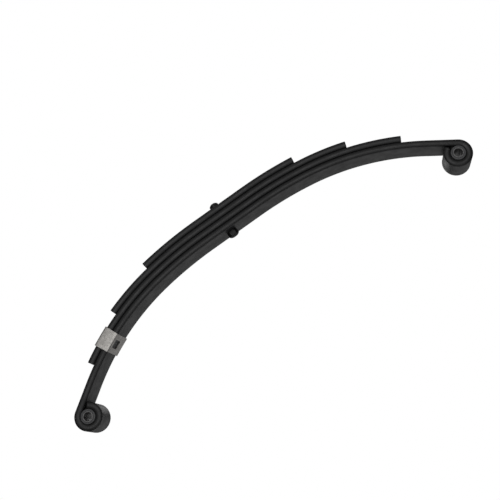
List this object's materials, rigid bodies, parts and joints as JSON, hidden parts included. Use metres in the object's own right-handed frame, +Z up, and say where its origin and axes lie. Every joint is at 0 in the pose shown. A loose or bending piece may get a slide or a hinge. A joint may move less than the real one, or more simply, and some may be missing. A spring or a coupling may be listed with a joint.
{
  "type": "leaf spring",
  "caption": "Semi-elliptic steel leaf spring with bushed eyes rolled up at both ends of the main leaf, a centre bolt and one rebound clip.",
  "frame": {"origin": "on the centre bolt's axis at the underside of the shortest leaf, where the axle seat bears", "axes": "+X along the span towards the end with the rebound clip, +Y across the leaves along both eyes, +Z up towards the main leaf and the eyes"},
  "size_m": [0.7022, 0.0486, 0.1845],
  "materials": {
    "leaf_paint": "satin black paint over spring steel",
    "hardware": "black-painted steel",
    "clip_steel": "bright zinc-plated strip",
    "bush": "moulded dark grey nylon",
    "sleeve": "dark phosphated steel tube"
  },
  "bodies": {
    "leaf_pack": {"main_leaf": "leaf_paint", "second_leaf": "leaf_paint", "third_leaf": "leaf_paint", "fourth_leaf": "leaf_paint", "centre_bolt": "hardware", "centre_nut": "hardware"},
    "front_end": {"front_bush": "bush"},
    "rear_end": {"rear_bush": "bush"},
    "clip": {"rebound_clip": "clip_steel"},
    "front_sleeve": {"front_sleeve": "sleeve"},
    "rear_sleeve": {"rear_sleeve": "sleeve"}
  },
  "joints": [
    {"name": "front_flex", "type": "hinge", "parent": "leaf_pack", "child": "front_end", "pos_m": [0.17, 0, 0.055], "axis": [0, 1, 0], "range_deg": [0, 15], "stiffness_Nm_per_rad": 8200, "deforming": ["main_leaf", "second_leaf", "third_leaf", "fourth_leaf"]},
    {"name": "rear_flex", "type": "hinge", "parent": "leaf_pack", "child": "rear_end", "pos_m": [-0.18, 0, 0.055], "axis": [0, -1, 0], "range_deg": [0, 15], "stiffness_Nm_per_rad": 8200, "deforming": ["main_leaf", "second_leaf", "third_leaf", "fourth_leaf"]},
    {"name": "clip_ride", "type": "hinge", "parent": "leaf_pack", "child": "clip", "pos_m": [0.17, 0, 0.055], "axis": [0, 1, 0], "range_deg": [0, 15]},
    {"name": "front_sleeve_turn", "type": "hinge", "parent": "front_end", "child": "front_sleeve", "pos_m": [0.325, 0, 0.15092], "axis": [0, 1, 0], "continuous": true},
    {"name": "rear_sleeve_turn", "type": "hinge", "parent": "rear_end", "child": "rear_sleeve", "pos_m": [-0.335, 0, 0.15092], "axis": [0, 1, 0], "continuous": true}
  ],
  "couplings": [
    {"joint": "rear_flex", "follows": "front_flex", "ratio": 1},
    {"joint": "clip_ride", "follows": "front_flex", "ratio": 1}
  ]
}
